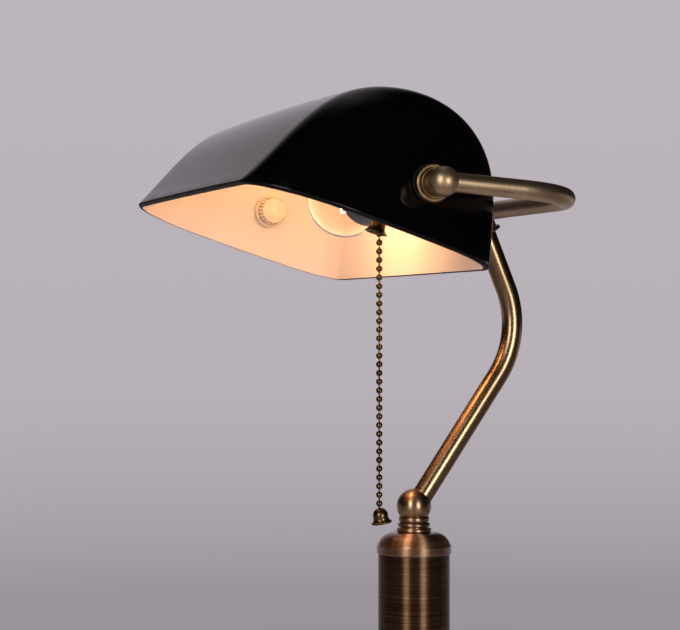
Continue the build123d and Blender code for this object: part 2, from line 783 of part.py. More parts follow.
# Thumb nut: moulded, with a low dome and a knurled edge.
with BuildPart() as thumb_nut:
    nut_seat = pivot - Vector(holder_seat, 0, 0)
    with BuildSketch(Plane(nut_seat, x_dir=(1, 0, 0), z_dir=(0, -1, 0))):
        with BuildLine():
            Polyline(
                (thumb_nut_thickness, 0),
                (0, 0),
                (0, thumb_nut_radius),
                (thumb_nut_edge, thumb_nut_radius),
                (thumb_nut_thickness - thumb_nut_dome, thumb_nut_radius - thumb_nut_dome),
            )
            TangentArc(
                (thumb_nut_thickness, 0),
                (thumb_nut_thickness - thumb_nut_dome, thumb_nut_radius - thumb_nut_dome),
                tangent=(0, 1),
            )
        make_face()
    revolve(axis=pivot_axis)
    with BuildSketch(Plane(nut_seat, z_dir=(1, 0, 0))):
        with PolarLocations(thumb_nut_radius, knurl_count):
            SlotOverall(2 * knurl_depth, knurl_width)
    extrude(amount=thumb_nut_thickness, mode=Mode.SUBTRACT)
    with BuildSketch(Plane(nut_seat, z_dir=(1, 0, 0))):
        Circle(pivot_radius + fit)
    extrude(amount=thumb_nut_hole_depth, mode=Mode.SUBTRACT)
thumb_nut.part.label = "thumb_nut"
export_step(thumb_nut.part, "parts/thumb_nut.step")

# Lampholder cap: a hub on the nipple that flares to the body.
with BuildPart() as holder_cap:
    with BuildSketch(holder_section):
        with BuildLine():
            Polyline(
                (cap_flare_end, holder_radius),
                (cap_length, holder_radius),
                (cap_length, holder_bore),
                (cap_floor, holder_bore),
                (cap_floor, pivot_radius + fit),
                (0, pivot_radius + fit),
                (0, cap_hub_radius),
                (cap_hub_length, cap_hub_radius),
            )
            TangentArc((cap_flare_end, holder_radius), (cap_hub_length, cap_hub_radius), tangent=(-1, 0))
        make_face()
    revolve(axis=pivot_axis)
holder_cap.part.label = "holder_cap"
export_step(holder_cap.part, "parts/holder_cap.step")

# Lampholder body: a cup with a spigot in the cap, a front wall and a side hole for the outlet.
with BuildPart() as holder_body:
    with BuildSketch(holder_section):
        with BuildLine():
            spigot_wall = holder_bore - fit
            Polyline(
                (cap_length - body_spigot_length, spigot_wall - holder_wall / 2),
                (cap_length - body_spigot_length, spigot_wall),
                (cap_length, spigot_wall),
                (cap_length, holder_radius),
                (body_end, holder_radius),
                (body_end, sleeve_radius + fit),
                (body_end - front_wall, sleeve_radius + fit),
                (body_end - front_wall, holder_bore),
                (switch_seat, holder_bore),
                (switch_seat, spigot_wall - holder_wall / 2),
                close=True,
            )
        make_face()
    revolve(axis=pivot_axis)
    with BuildSketch(Plane(outlet_origin, z_dir=-upward)):
        Circle(outlet_neck_radius + fit)
    extrude(amount=2 * holder_radius, mode=Mode.SUBTRACT)
holder_body.part.label = "holder_body"
export_step(holder_body.part, "parts/holder_body.step")

# Nose sleeve around the bulb cap, its flange clamped behind the front wall.
with BuildPart() as nose_sleeve:
    with BuildSketch(holder_section):
        with BuildLine():
            sleeve_end = body_end + sleeve_reach
            Polyline(
                (sleeve_seat, sleeve_bore),
                (sleeve_seat, sleeve_flange_radius),
                (body_end - front_wall, sleeve_flange_radius),
                (body_end - front_wall, sleeve_radius),
                (sleeve_end, sleeve_radius),
                (sleeve_end, sleeve_bore),
                close=True,
            )
        make_face()
    revolve(axis=pivot_axis)
nose_sleeve.part.label = "nose_sleeve"
export_step(nose_sleeve.part, "parts/nose_sleeve.step")

# Insulating block that carries the contacts of the bulb.
with BuildPart() as contact_block:
    with BuildSketch(Plane(holder_face - Vector(switch_face, 0, 0), z_dir=(-1, 0, 0))):
        Circle(block_radius)
    extrude(amount=contact_block_length)
contact_block.part.label = "contact_block"
export_step(contact_block.part, "parts/contact_block.step")

# Switch block behind it, slotted for the pull link and the flange of the outlet.
with BuildPart() as switch_block:
    with BuildSketch(Plane(holder_face - Vector(switch_face, 0, 0), z_dir=(1, 0, 0))):
        Circle(block_radius)
    extrude(amount=switch_face - switch_seat)
    with BuildSketch(Plane(outlet_origin, z_dir=-upward)):
        Circle(link_head_radius + loose_fit)
    extrude(amount=holder_radius, mode=Mode.SUBTRACT)
    with BuildSketch(Plane(outlet_origin - upward * (outlet_flange_top - loose_fit), z_dir=-upward)):
        Circle(outlet_flange_radius + loose_fit)
    extrude(amount=holder_radius, mode=Mode.SUBTRACT)
switch_block.part.label = "switch_block"
export_step(switch_block.part, "parts/switch_block.step")

# Screw shell for the bulb cap, a drawn cup with a hole in its floor.
with BuildPart() as screw_shell:
    with BuildSketch(Plane(holder_face - Vector(contact_face, 0, 0), z_dir=(-1, 0, 0))):
        Circle(screw_shell_radius)
    extrude(amount=screw_shell_length)
    with BuildSketch(Plane(holder_face - Vector(contact_face + screw_shell_floor, 0, 0), z_dir=(-1, 0, 0))):
        Circle(screw_shell_radius - screw_shell_wall)
    extrude(amount=screw_shell_length, mode=Mode.SUBTRACT)
    with BuildSketch(Plane(holder_face - Vector(contact_face, 0, 0), z_dir=(-1, 0, 0))):
        Circle(shell_base_hole)
    extrude(amount=screw_shell_floor, mode=Mode.SUBTRACT)
screw_shell.part.label = "screw_shell"
export_step(screw_shell.part, "parts/screw_shell.step")

# Centre contact, in the hole of the screw shell.
with BuildPart() as centre_contact:
    with BuildSketch(Plane(holder_face - Vector(contact_face, 0, 0), z_dir=(-1, 0, 0))):
        Circle(centre_contact_radius)
    extrude(amount=screw_shell_floor + centre_contact_thickness)
centre_contact.part.label = "centre_contact"
export_step(centre_contact.part, "parts/centre_contact.step")

# Chain outlet: an inner flange, a neck through the body and a flared bell mouth.
with BuildPart() as chain_outlet:
    with BuildSketch(outlet_section):
        with BuildLine():
            flange_end = outlet_flange_top + outlet_flange_thickness
            Polyline(
                (outlet_bore, outlet_flare_top),
                (outlet_bore, outlet_flange_top),
                (outlet_flange_radius, outlet_flange_top),
                (outlet_flange_radius, flange_end),
                (outlet_neck_radius, flange_end),
                (outlet_neck_radius, outlet_flare_top),
            )
            TangentArc(
                (outlet_neck_radius, outlet_flare_top),
                (outlet_lip_radius, outlet_lip),
                tangent=(0, 1),
            )
            Line((outlet_lip_radius, outlet_lip), (outlet_lip_bore, outlet_lip))
            TangentArc((outlet_bore, outlet_flare_top), (outlet_lip_bore, outlet_lip), tangent=(0, 1))
        make_face()
    revolve(axis=outlet_axis)
chain_outlet.part.label = "chain_outlet"
export_step(chain_outlet.part, "parts/chain_outlet.step")

# Pull link: a guided head in the switch block, a wire out of the bell mouth and the first bead.
with BuildPart() as pull_link:
    with BuildSketch(Plane(outlet_origin - upward * link_head_top, z_dir=-upward)):
        Circle(link_head_radius)
    extrude(amount=link_head_thickness)
    with BuildSketch(Plane(chain_top, z_dir=upward)):
        Circle(link_radius)
    extrude(amount=outlet_lip - link_head_top)
    with Locations(chain_top):
        Sphere(bead_radius)
pull_link.part.label = "pull_link"
export_step(pull_link.part, "parts/pull_link.step")

# First free link of the chain with its bead.
with BuildPart() as chain_lead:
    with BuildSketch(chain_section):
        with BuildLine():
            Polyline(
                (0, -bead_pitch - bead_radius),
                (0, -bead_radius - bead_gap),
                (bead_link_radius, -bead_radius - bead_gap),
                (bead_link_radius, bead_cut - bead_pitch),
            )
            ThreePointArc(
                (bead_link_radius, bead_cut - bead_pitch),
                (bead_radius, -bead_pitch),
                (0, -bead_pitch - bead_radius),
            )
        make_face()
    revolve(axis=chain_axis)
chain_lead.part.label = "chain_lead"
export_step(chain_lead.part, "parts/chain_lead.step")

# Ball chain: round beads on wire links, turned as one string, with a tail in the bell pull.
with BuildPart() as pull_chain:
    with BuildSketch(chain_section):
        with BuildLine():
            string_top = -bead_pitch - bead_radius - bead_gap
            last_bead = -bead_pitch * (bead_count + 1)
            pull_top = last_bead - bead_radius - pull_standoff
            string_end = pull_top - pull_hole_depth + running_gap
            link_foot = Vector(bead_link_radius, string_top)
            Line((0, string_top), link_foot)
            for bead in range(bead_count):
                height = -bead_pitch * (bead + 2)
                Line(link_foot, (bead_link_radius, height + bead_cut))
                link_foot = Vector(bead_link_radius, height - bead_cut)
                ThreePointArc((bead_link_radius, height + bead_cut), (bead_radius, height), link_foot)
            Line(link_foot, (bead_link_radius, string_end))
            Line((bead_link_radius, string_end), (0, string_end))
            Line((0, string_end), (0, string_top))
        make_face()
    revolve(axis=chain_axis)
pull_chain.part.label = "pull_chain"
export_step(pull_chain.part, "parts/pull_chain.step")

# Bell pull: a small dome with a thin flared brim, hollow underneath. It hangs a little canted.
with BuildPart() as bell_pull:
    pull_point = chain_top + Vector(0, 0, pull_top)
    pull_up = Vector(0, -sin(radians(pull_cant)), cos(radians(pull_cant)))
    with BuildSketch(Plane(pull_point, x_dir=(1, 0, 0), z_dir=pull_up.cross(Vector(-1, 0, 0)))):
        with BuildLine():
            Polyline(
                (0, 0),
                (0, -pull_height),
                (pull_lip_radius, -pull_height),
                (pull_lip_radius, pull_lip_height - pull_height),
            )
            TangentArc(
                (pull_radius, pull_flare - pull_height),
                (pull_lip_radius, pull_lip_height - pull_height),
                tangent=(0, -1),
            )
            Line((pull_radius, pull_flare - pull_height), (pull_radius, -pull_radius))
            TangentArc((pull_radius, -pull_radius), (0, 0), tangent=(0, 1))
        make_face()
    revolve(axis=Axis(pull_point, pull_up))
    fillet(edges().filter_by(GeomType.CIRCLE).group_by(SortBy.RADIUS)[-1], pull_lip_height / 3)
    with BuildSketch(Plane(pull_point - pull_up * pull_height, z_dir=pull_up)):
        Circle(pull_hollow_radius)
    extrude(amount=pull_hollow_depth, taper=pull_hollow_taper, mode=Mode.SUBTRACT)
    with BuildSketch(Plane(pull_point, z_dir=(0, 0, -1))):
        Circle(bead_link_radius + fit)
    extrude(amount=pull_hole_depth, mode=Mode.SUBTRACT)
bell_pull.part.label = "bell_pull"
export_step(bell_pull.part, "parts/bell_pull.step")

# Bulb glass: a thin round globe on a neck that ends inside the cap.
with BuildPart() as bulb_glass:
    with BuildSketch(holder_section):
        with BuildLine():
            inner_globe = globe_radius - globe_wall
            inner_neck = bulb_neck_radius - globe_wall
            inner_join = globe_centre - sqrt(inner_globe**2 - inner_neck**2)
            glass_start = bulb_cap_start + bulb_cap_length / 2
            Line((glass_start, inner_neck), (glass_start, bulb_neck_radius))
            Line((glass_start, bulb_neck_radius), (neck_join, bulb_neck_radius))
            ThreePointArc(
                (neck_join, bulb_neck_radius),
                (globe_centre, globe_radius),
                (globe_centre + globe_radius, 0),
            )
            Line((globe_centre + globe_radius, 0), (globe_centre + inner_globe, 0))
            ThreePointArc(
                (globe_centre + inner_globe, 0),
                (globe_centre, inner_globe),
                (inner_join, inner_neck),
            )
            Line((inner_join, inner_neck), (glass_start, inner_neck))
        make_face()
    revolve(axis=pivot_axis)
bulb_glass.part.label = "bulb_glass"
export_step(bulb_glass.part, "parts/bulb_glass.step")

# Screw cap of the bulb, a thin metal cup around the neck of the glass.
with BuildPart() as bulb_cap:
    with BuildSketch(Plane(holder_face - Vector(bulb_cap_start, 0, 0), z_dir=(-1, 0, 0))):
        Circle(bulb_cap_radius)
        Circle(bulb_cap_radius - bulb_cap_wall, mode=Mode.SUBTRACT)
    extrude(amount=bulb_cap_length)
bulb_cap.part.label = "bulb_cap"
export_step(bulb_cap.part, "parts/bulb_cap.step")

# Insulator that closes the cap, tapering to the tip contact.
with BuildPart() as bulb_insulator:
    with BuildSketch(holder_section):
        with BuildLine():
            taper_start = bulb_tip + bulb_tip_height
            Polyline(
                (taper_start, 0),
                (taper_start, insulator_tip_radius),
                (bulb_cap_start, bulb_cap_radius),
                (bulb_cap_start, bulb_cap_radius - bulb_cap_wall - fit),
                (bulb_cap_start + insulator_height, bulb_cap_radius - bulb_cap_wall - fit),
                (bulb_cap_start + insulator_height, 0),
                close=True,
            )
        make_face()
    revolve(axis=pivot_axis)
bulb_insulator.part.label = "bulb_insulator"
export_step(bulb_insulator.part, "parts/bulb_insulator.step")

# Tip contact of the bulb, pressed on the centre contact.
with BuildPart() as bulb_contact:
    with BuildSketch(Plane(holder_face - Vector(bulb_tip, 0, 0), z_dir=(-1, 0, 0))):
        Circle(bulb_tip_radius)
    extrude(amount=bulb_tip_height)
bulb_contact.part.label = "bulb_contact"
export_step(bulb_contact.part, "parts/bulb_contact.step")

# Glass stem inside the bulb that carries the leads.
with BuildPart() as bulb_stem:
    stem_base = bulb_cap_start + insulator_height
    stem_tip = bulb_cap_end + bulb_stem_length
    with BuildSketch(Plane(holder_face - Vector(stem_base, 0, 0), z_dir=(-1, 0, 0))):
        Circle(bulb_stem_radius)
    extrude(amount=stem_tip - stem_base)
    fillet(edges().group_by(Axis.X)[0], bulb_stem_radius / 2)
bulb_stem.part.label = "bulb_stem"
export_step(bulb_stem.part, "parts/bulb_stem.step")

# Filament: two leads out of the stem and a wire loop between them.
with BuildPart() as filament:
    lead_end = stem_tip + lead_length
    with BuildLine(holder_section) as filament_path:
        FilletPolyline(
            (stem_tip, -lead_spread),
            (stem_tip + lead_length / 2, -filament_span / 2),
            (lead_end, -filament_span / 2),
            (lead_end, filament_span / 2),
            (stem_tip + lead_length / 2, filament_span / 2),
            (stem_tip, lead_spread),
            radius=filament_bend,
        )
    with BuildSketch(Plane(filament_path.line @ 0, z_dir=filament_path.line % 0)):
        Circle(lead_radius)
    sweep(path=filament_path.wire())
filament.part.label = "filament"
export_step(filament.part, "parts/filament.step")
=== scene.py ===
from math import cos, pi, radians, sin

import bpy
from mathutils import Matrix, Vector


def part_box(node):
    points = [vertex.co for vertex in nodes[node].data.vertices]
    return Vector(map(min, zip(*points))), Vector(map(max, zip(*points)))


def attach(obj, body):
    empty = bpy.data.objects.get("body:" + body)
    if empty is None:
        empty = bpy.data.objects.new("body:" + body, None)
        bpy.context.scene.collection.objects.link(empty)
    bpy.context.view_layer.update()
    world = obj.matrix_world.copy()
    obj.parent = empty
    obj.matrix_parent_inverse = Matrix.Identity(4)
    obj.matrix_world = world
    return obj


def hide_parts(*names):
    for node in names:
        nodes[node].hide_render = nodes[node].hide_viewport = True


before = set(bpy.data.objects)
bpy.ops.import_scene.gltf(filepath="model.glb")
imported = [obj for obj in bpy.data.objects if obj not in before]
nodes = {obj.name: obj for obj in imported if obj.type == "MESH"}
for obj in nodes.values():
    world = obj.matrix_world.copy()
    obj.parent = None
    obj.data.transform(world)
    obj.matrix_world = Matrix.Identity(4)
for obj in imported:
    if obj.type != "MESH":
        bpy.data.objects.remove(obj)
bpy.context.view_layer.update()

# Felt pad: a disc of wool felt, die-cut and glued under the ballast; the lamp stands on it.
# Pressed fibres scatter the light, so the felt is matt and mottled, and its cut edge is soft.
# The clumps are drawn a few times coarser than real ones, so that they show.
MM = 0.001
FELT_SHADOW = "#16241C"
FELT_LIGHT = "#2F4638"
FIBRE_CLUMP = 1.4 * MM
FIBRE_HEIGHT = 0.35 * MM
FELT_EDGE_ROUND = 0.6 * MM
FELT_EDGE_STEPS = 3
FELT_EDGE_SMOOTH = radians(40)
FELT_SIDES = 128
FELT_RINGS = 4

# A Mix node's sockets share their names, so they go by number; these are the ones for colours.
SHARE, FIRST_TONE, SECOND_TONE, MIXED_TONE = 0, 6, 7, 2


def linear(hex_colour):
    """An sRGB hex colour as the linear RGBA that the shaders take."""
    channels = [int(hex_colour[i : i + 2], 16) / 255 for i in (1, 3, 5)]
    return [c / 12.92 if c <= 0.04045 else ((c + 0.055) / 1.055) ** 2.4 for c in channels] + [1.0]


def new_finish(name):
    """An empty node material."""
    finish = bpy.data.materials.new(name)
    finish.use_nodes = True
    finish.node_tree.nodes.clear()
    return finish


def add_node(finish, kind, inputs, **settings):
    """Adds a node; each input is a plain value or the output socket that feeds it."""
    node = finish.node_tree.nodes.new("ShaderNode" + kind)
    for name, value in settings.items():
        setattr(node, name, value)
    for name, value in inputs.items():
        if isinstance(value, bpy.types.NodeSocket):
            finish.node_tree.links.new(value, node.inputs[name])
        else:
            node.inputs[name].default_value = value
    return node


def two_tone(finish, cloud, dark, light, detail):
    """A cloudy mix of two colours, the clouds as large as given; returns the noise and the colour."""
    place = add_node(finish, "TexCoord", {}).outputs["Object"]
    noise = add_node(finish, "TexNoise", {"Vector": place, "Scale": 1 / cloud, "Detail": detail})
    grain = noise.outputs["Fac"]
    tones = {SHARE: grain, FIRST_TONE: linear(dark), SECOND_TONE: linear(light)}
    mix = add_node(finish, "Mix", tones, data_type="RGBA")
    return grain, mix.outputs[MIXED_TONE]


wool_felt = new_finish("wool_felt")
fibres, felt_tone = two_tone(wool_felt, FIBRE_CLUMP, FELT_SHADOW, FELT_LIGHT, detail=6.0)
nap = add_node(wool_felt, "Bump", {"Height": fibres, "Strength": 0.6, "Distance": FIBRE_HEIGHT})
felt_shader = add_node(
    wool_felt,
    "BsdfPrincipled",
    {
        "Base Color": felt_tone,
        "Roughness": 0.95,
        "Sheen Weight": 0.4,
        "Sheen Roughness": 0.6,
        "Normal": nap.outputs["Normal"],
    },
)
add_node(wool_felt, "OutputMaterial", {"Surface": felt_shader.outputs["BSDF"]})

bpy.ops.object.select_all(action="DESELECT")
felt_low, felt_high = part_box("felt_pad")
felt_radius = (felt_high.x - felt_low.x) / 2
felt_thickness = felt_high.z - felt_low.z
bpy.ops.mesh.primitive_cylinder_add(
    vertices=FELT_SIDES,
    radius=felt_radius,
    depth=felt_thickness,
    location=(felt_low + felt_high) / 2,
    end_fill_type="NGON",
)
felt = bpy.context.object
felt.name = "felt_disc"
bpy.ops.object.transform_apply(location=True, rotation=True, scale=True)
bpy.ops.object.mode_set(mode="EDIT")
bpy.ops.mesh.select_all(action="DESELECT")
bpy.ops.object.mode_set(mode="OBJECT")
for edge in felt.data.edges:
    ends = [felt.data.vertices[i].co.z for i in edge.vertices]
    edge.select = abs(ends[0] - ends[1]) < felt_thickness / 2
bpy.ops.object.mode_set(mode="EDIT")
bpy.ops.mesh.select_mode(type="EDGE")
bpy.ops.mesh.bevel(offset=FELT_EDGE_ROUND, segments=FELT_EDGE_STEPS, affect="EDGES")
bpy.ops.mesh.select_all(action="DESELECT")
bpy.ops.object.mode_set(mode="OBJECT")
for face in felt.data.polygons:
    face.select = len(face.vertices) == FELT_SIDES
bpy.ops.object.mode_set(mode="EDIT")
bpy.ops.mesh.select_mode(type="FACE")
for _ in range(FELT_RINGS):
    bpy.ops.mesh.inset(thickness=felt_radius / (FELT_RINGS + 2))
bpy.ops.mesh.poke()
bpy.ops.object.mode_set(mode="OBJECT")
bpy.ops.object.shade_smooth_by_angle(angle=FELT_EDGE_SMOOTH)
felt.data.materials.append(wool_felt)
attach(felt, "base")
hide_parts("felt_pad")

# Ballast: a stepped disc of cast iron inside the base, left as it came out of the sand.
# The casting skin is dark, dull and coarse.
IRON_SKIN = "#2B2927"
IRON_WORN = "#4A4744"
SAND_GRIT = 0.7 * MM
PIT_DEPTH = SAND_GRIT / 3


def dress(finish, *names):
    """Gives CAD nodes a finish in their material slot."""
    for name in names:
        nodes[name].material_slots[0].material = finish


cast_iron = new_finish("cast_iron")
sand, skin = two_tone(cast_iron, SAND_GRIT, IRON_SKIN, IRON_WORN, detail=4.0)
pits = add_node(cast_iron, "Bump", {"Height": sand, "Strength": 0.7, "Distance": PIT_DEPTH})
iron_shader = add_node(
    cast_iron,
    "BsdfPrincipled",
    {
        "Base Color": skin,
        "Metallic": 0.6,
        "Roughness": 0.7,
        "Normal": pits.outputs["Normal"],
    },
)
add_node(cast_iron, "OutputMaterial", {"Surface": iron_shader.outputs["BSDF"]})
dress(cast_iron, "base_weight")

# Base shell: a sheet brass spinning with a rim, a flat foot and a low dome, open underneath.
# Antique finish: darkened, rubbed back on the lathe to bare brass, warm as copper, and lacquered.
# It shows cloudy patina and fine lines, drawn a few times coarser than real ones, so that they show.
BRASS_RUBBED = "#C2A37F"
BRASS_DARK = "#8E7052"
COPPER_RUBBED = "#E3B58A"
COPPER_DARK = "#A2724E"
PATINA_CLOUD = 22 * MM
TURNING_LINE = 0.35 * MM
LINE_DEPTH = TURNING_LINE / 10
LINE_SHARE = 0.5
DARK_BELOW = 0.3
BARE_ABOVE = 0.65
DARK_SWING = 0.6
BARE_SWING = 0.4
ACROSS_LINES = 0.25
LACQUER_SOFTNESS = 0.18

# The sockets of a Mix node for plain numbers.
FIRST_LEVEL, SECOND_LEVEL, MIXED_LEVEL = 2, 3, 0


def aged_brass(
    name,
    along,
    light=BRASS_RUBBED,
    dark=BRASS_DARK,
    roughness=0.38,
    swing=0.1,
    lines=0.2,
    axis=None,
    pull=0.95,
    lacquer=0.0,
):
    """Antique brass; along stretches the rubbing lines, and swing is how unevenly they are polished.

    On a piece turned about an axis, the fine lines round it draw each light out along the axis, by
    as much as pull says. Lacquer is the weight of the clear coat.
    """
    finish = new_finish(name)
    spot = add_node(finish, "TexCoord", {}).outputs["Object"]
    cloud = add_node(finish, "TexNoise", {"Vector": spot, "Scale": 1 / PATINA_CLOUD, "Detail": 4.0})
    stretched = add_node(finish, "Mapping", {"Vector": spot, "Scale": along})
    rubbing = add_node(
        finish, "TexNoise", {"Vector": stretched.outputs["Vector"], "Scale": 1 / TURNING_LINE, "Detail": 3.0}
    )
    worn = add_node(
        finish,
        "Mix",
        {SHARE: LINE_SHARE, FIRST_LEVEL: cloud.outputs["Fac"], SECOND_LEVEL: rubbing.outputs["Fac"]},
        data_type="FLOAT",
    )
    bare = add_node(
        finish,
        "MapRange",
        {"Value": worn.outputs[MIXED_LEVEL], "From Min": DARK_BELOW, "From Max": BARE_ABOVE},
    )
    colour = add_node(
        finish,
        "Mix",
        {SHARE: bare.outputs["Result"], FIRST_TONE: linear(dark), SECOND_TONE: linear(light)},
        data_type="RGBA",
    )
    dull = add_node(
        finish,
        "MapRange",
        {
            "Value": worn.outputs[MIXED_LEVEL],
            "To Min": roughness + DARK_SWING * swing,
            "To Max": roughness - BARE_SWING * swing,
        },
    )
    scratch = add_node(
        finish,
        "Bump",
        {"Height": rubbing.outputs["Fac"], "Strength": lines, "Distance": LINE_DEPTH},
    )
    shader = add_node(
        finish,
        "BsdfPrincipled",
        {
            "Base Color": colour.outputs[MIXED_TONE],
            "Metallic": 1.0,
            "Roughness": dull.outputs["Result"],
            "Normal": scratch.outputs["Normal"],
            "Coat Weight": lacquer,
            "Coat Roughness": LACQUER_SOFTNESS,
        },
    )
    if axis:
        around = add_node(finish, "Tangent", {}, direction_type="RADIAL", axis=axis)
        finish.node_tree.links.new(around.outputs["Tangent"], shader.inputs["Tangent"])
        shader.inputs["Anisotropic"].default_value = pull
        shader.inputs["Anisotropic Rotation"].default_value = ACROSS_LINES
    add_node(finish, "OutputMaterial", {"Surface": shader.outputs["BSDF"]})
    return finish


ROUND_Z = (0.04, 0.04, 1.0)
turned_brass = aged_brass(
    "turned_aged_brass",
    ROUND_Z,
    light=COPPER_RUBBED,
    dark=COPPER_DARK,
    roughness=0.5,
    axis="Z",
    pull=1.0,
    lacquer=1.0,
)
dress(turned_brass, "base_shell")

# Cord grommet: a moulded rubber bush snapped into the rear of the rim.
# Plain black rubber, slightly dusty, so it is dull and a little grey.
RUBBER_BLACK = "#141313"
RUBBER_DUST = "#2A2827"
DUST_PATCH = 2.5 * MM

black_rubber = new_finish("black_rubber")
_, bloom = two_tone(black_rubber, DUST_PATCH, RUBBER_BLACK, RUBBER_DUST, detail=5.0)
rubber_shader = add_node(
    black_rubber, "BsdfPrincipled", {"Base Color": bloom, "Roughness": 0.62, "IOR": 1.52}
)
add_node(black_rubber, "OutputMaterial", {"Surface": rubber_shader.outputs["BSDF"]})
dress(black_rubber, "cord_grommet")

# Tie rod with its washer and nut: plain steel, rolled and turned, so it is grey and half bright.
# It clamps the base, the column and the cap together; the nipples and the stud are the same steel.
STEEL_GREY = "#8C8B89"
STEEL_DARK = "#5C5B5A"
STEEL_STREAK = 0.5 * MM

plain_steel = new_finish("plain_steel")
_, steel_tone = two_tone(plain_steel, STEEL_STREAK, STEEL_DARK, STEEL_GREY, detail=3.0)
steel_shader = add_node(
    plain_steel, "BsdfPrincipled", {"Base Color": steel_tone, "Metallic": 1.0, "Roughness": 0.38}
)
add_node(plain_steel, "OutputMaterial", {"Surface": steel_shader.outputs["BSDF"]})
dress(plain_steel, "rod_washer", "rod_nut", "tie_rod", "swivel_nipple", "pivot_nipple", "pivot_stud")

# Column: a turned foot ring, a straight drawn tube and a domed cap with a proud band.
# The tube is brushed round and round and left darker than the rest; the cap is rubbed brighter.
# Brushing gives dark and light rings and long upright lights; the rings are drawn coarse, to show.
COLUMN_LIGHT = "#7C6045"
COLUMN_DARK = "#3F2D1F"
BRUSH_LINE = 0.6 * MM
GROOVE_DEPTH = BRUSH_LINE / 12
RING_STRETCH = (0.01, 0.01, 1.0)
RING_EDGES = (0.3, 0.7)

brushed_column = new_finish("brushed_column_brass")
place = add_node(brushed_column, "TexCoord", {}).outputs["Object"]
rings = add_node(brushed_column, "Mapping", {"Vector": place, "Scale": RING_STRETCH})
brush = add_node(
    brushed_column, "TexNoise", {"Vector": rings.outputs["Vector"], "Scale": 1 / BRUSH_LINE, "Detail": 4.0}
)
stripe = add_node(
    brushed_column,
    "MapRange",
    {"Value": brush.outputs["Fac"], "From Min": RING_EDGES[0], "From Max": RING_EDGES[1]},
)
brush_tone = add_node(
    brushed_column,
    "Mix",
    {
        SHARE: stripe.outputs["Result"],
        FIRST_TONE: linear(COLUMN_DARK),
        SECOND_TONE: linear(COLUMN_LIGHT),
    },
    data_type="RGBA",
)
grooves = add_node(
    brushed_column, "Bump", {"Height": brush.outputs["Fac"], "Strength": 0.25, "Distance": GROOVE_DEPTH}
)
around = add_node(brushed_column, "Tangent", {}, direction_type="RADIAL", axis="Z")
column_shader = add_node(
    brushed_column,
    "BsdfPrincipled",
    {
        "Base Color": brush_tone.outputs[MIXED_TONE],
        "Metallic": 1.0,
        "Roughness": 0.34,
        "Anisotropic": 0.95,
        "Anisotropic Rotation": ACROSS_LINES,
        "Normal": grooves.outputs["Normal"],
        "Tangent": around.outputs["Tangent"],
    },
)
add_node(brushed_column, "OutputMaterial", {"Surface": column_shader.outputs["BSDF"]})
dress(brushed_column, "column_tube")
dress(turned_brass, "foot_ring", "column_cap")

# Neck: two turned rings on the cap with a thin rubber washer on which the stem ball turns.
# The rings catch a line of light each.
neck_brass = aged_brass("neck_aged_brass", ROUND_Z, roughness=0.32, axis="Z", pull=0.6)
dress(neck_brass, "neck_collar")
dress(black_rubber, "swivel_washer")

# Stem: a turned ball that swivels on the neck, a bent drawn tube and a ring collar at its top.
# The tube was rubbed by hand, so its grain has no single direction and its shine is even.
STEM_LIGHT = "#AA8D6B"
STEM_DARK = "#957858"
SOFT_MOTTLE = (0.15, 0.15, 0.15)
rubbed_brass = aged_brass(
    "rubbed_aged_brass",
    SOFT_MOTTLE,
    light=STEM_LIGHT,
    dark=STEM_DARK,
    roughness=0.26,
    swing=0.02,
    lines=0.01,
)
dress(neck_brass, "stem_ball")
dress(rubbed_brass, "stem_tube", "stem_collar")

# Yoke: a hub on the stem and one tube bent twice, with a ball and a friction ring at each end.
# Rubbed to a pale satin; the rings stay darker, and turned pieces have lines round the pivot axis.
EVEN = (0.5, 0.5, 0.5)
ROUND_X = (1.0, 0.04, 0.04)
YOKE_LIGHT = "#DBBF9B"
YOKE_DARK = "#AD8E6B"
RING_LIGHT = "#A88963"
RING_DARK = "#5C4630"
yoke_brass = aged_brass(
    "yoke_aged_brass", EVEN, light=YOKE_LIGHT, dark=YOKE_DARK, roughness=0.38, swing=0.05, lines=0.05
)
ring_brass = aged_brass("ring_aged_brass", ROUND_X, light=RING_LIGHT, dark=RING_DARK, roughness=0.3)
pivot_brass = aged_brass("pivot_aged_brass", ROUND_X, light=YOKE_LIGHT, dark=YOKE_DARK, roughness=0.42)
dress(yoke_brass, "yoke_hub", "yoke_tube")
dress(pivot_brass, "yoke_ball_right", "yoke_ball_left")
dress(ring_brass, "friction_ring_right", "friction_ring_left")

# Glass shade: white opal glass cased in black, pressed in a mould and fire polished.
# Outside it is a black mirror with a slight pull in it, inside it is a milky white gloss.
# The rim is ground flat and left dull.
GLASS_BLACK = "#060405"
OPAL_WHITE = "#FAF5EC"
OPAL_CREAM = "#F4ECDF"
MOULD_PULL = 45 * MM
PULL_HEIGHT = 0.1 * MM
OPAL_CLOUD = 30 * MM
OPAL_GLOSS = 0.04
RIM_BLACK = "#0B0807"
RIM_GRIT = 0.4 * MM
HOLLOW_HALF = 80 * MM
SHADE_TILT = radians(17.77)
FLAT_RIM = 0.9
ROUND_RIM = 0.0
RIM_DEPTH = 2.4 * MM
OUTSIDE, INSIDE, RIM = 0, 1, 2
WELD = 0.001 * MM
SMOOTH_BELOW = radians(35)

